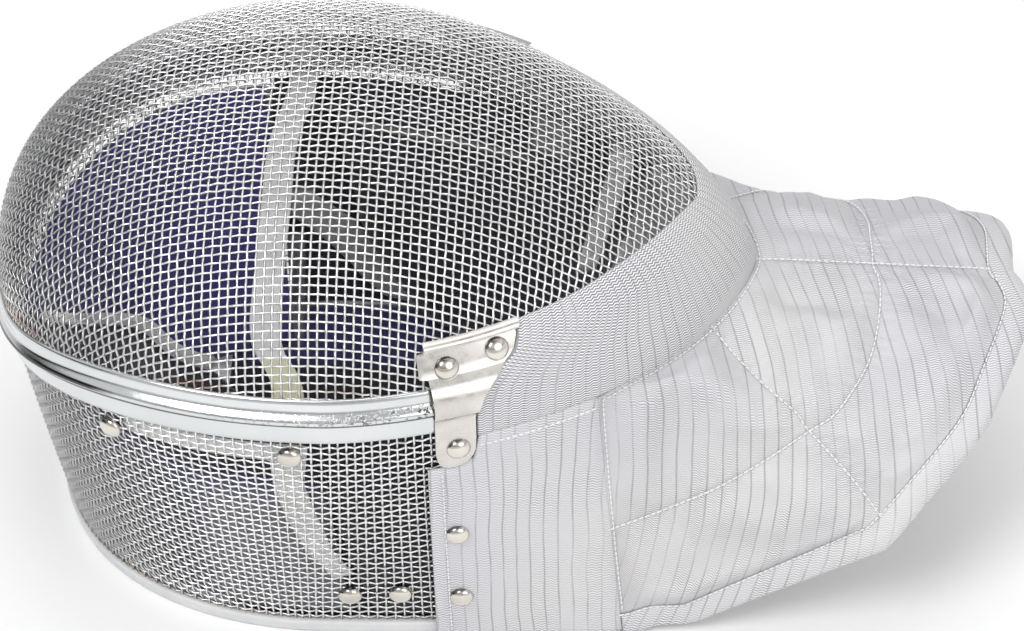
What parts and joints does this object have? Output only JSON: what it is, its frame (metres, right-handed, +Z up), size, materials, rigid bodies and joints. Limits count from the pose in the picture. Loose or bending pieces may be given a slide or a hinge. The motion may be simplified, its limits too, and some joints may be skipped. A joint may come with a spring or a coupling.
{
  "type": "fencing mask",
  "caption": "Domed wire mesh fencing mask with a chromed brow band, temple brackets and a quilted silver cloth bib, lying face up.",
  "frame": {"origin": "on the floor under the middle of the whole mask, which lies face up on its rear rim", "axes": "+X from the crown of the head to the bib, +Y towards the wearer's left, +Z up out of the face"},
  "size_m": [0.3791, 0.213, 0.1837],
  "materials": {
    "wire": "bare woven wire",
    "chrome": "bright plated",
    "plate": "satin pressed plate",
    "trim": "light grey folded strip",
    "silver_cloth": "metallic knit, quilted",
    "blue_cloth": "brushed lining",
    "dark_cloth": "dull lining",
    "light_tape": "woven tape"
  },
  "bodies": {
    "root": {"face_mesh": "wire", "crown_mesh": "wire", "brow_band": "chrome", "rear_rim": "trim", "jaw_strip": "silver_cloth", "bib": "silver_cloth", "bib_hem": "silver_cloth", "crown_pad": "blue_cloth", "crown_pad_binding": "light_tape", "brow_strap": "light_tape", "back_strap": "dark_cloth", "bracket_near": "plate", "side_cover_near": "silver_cloth", "inside_tape_near": "light_tape", "cheek_pad_near": "dark_cloth", "bracket_far": "plate", "side_cover_far": "silver_cloth", "inside_tape_far": "light_tape", "cheek_pad_far": "dark_cloth", "rivet_bracket_rear_near": "plate", "rivet_bracket_front_near": "plate", "rivet_bracket_low_near": "plate", "rivet_crown_upper_rear_near": "plate", "rivet_crown_upper_front_near": "plate", "rivet_crown_lower_rear_near": "plate", "rivet_crown_lower_front_near": "plate", "rivet_cover_upper_near": "plate", "rivet_cover_lower_near": "plate", "rivet_bracket_rear_far": "plate", "rivet_bracket_front_far": "plate", "rivet_bracket_low_far": "plate", "rivet_crown_upper_rear_far": "plate", "rivet_crown_upper_front_far": "plate", "rivet_crown_lower_rear_far": "plate", "rivet_crown_lower_front_far": "plate", "rivet_cover_upper_far": "plate", "rivet_cover_lower_far": "plate"}
  },
  "joints": []
}
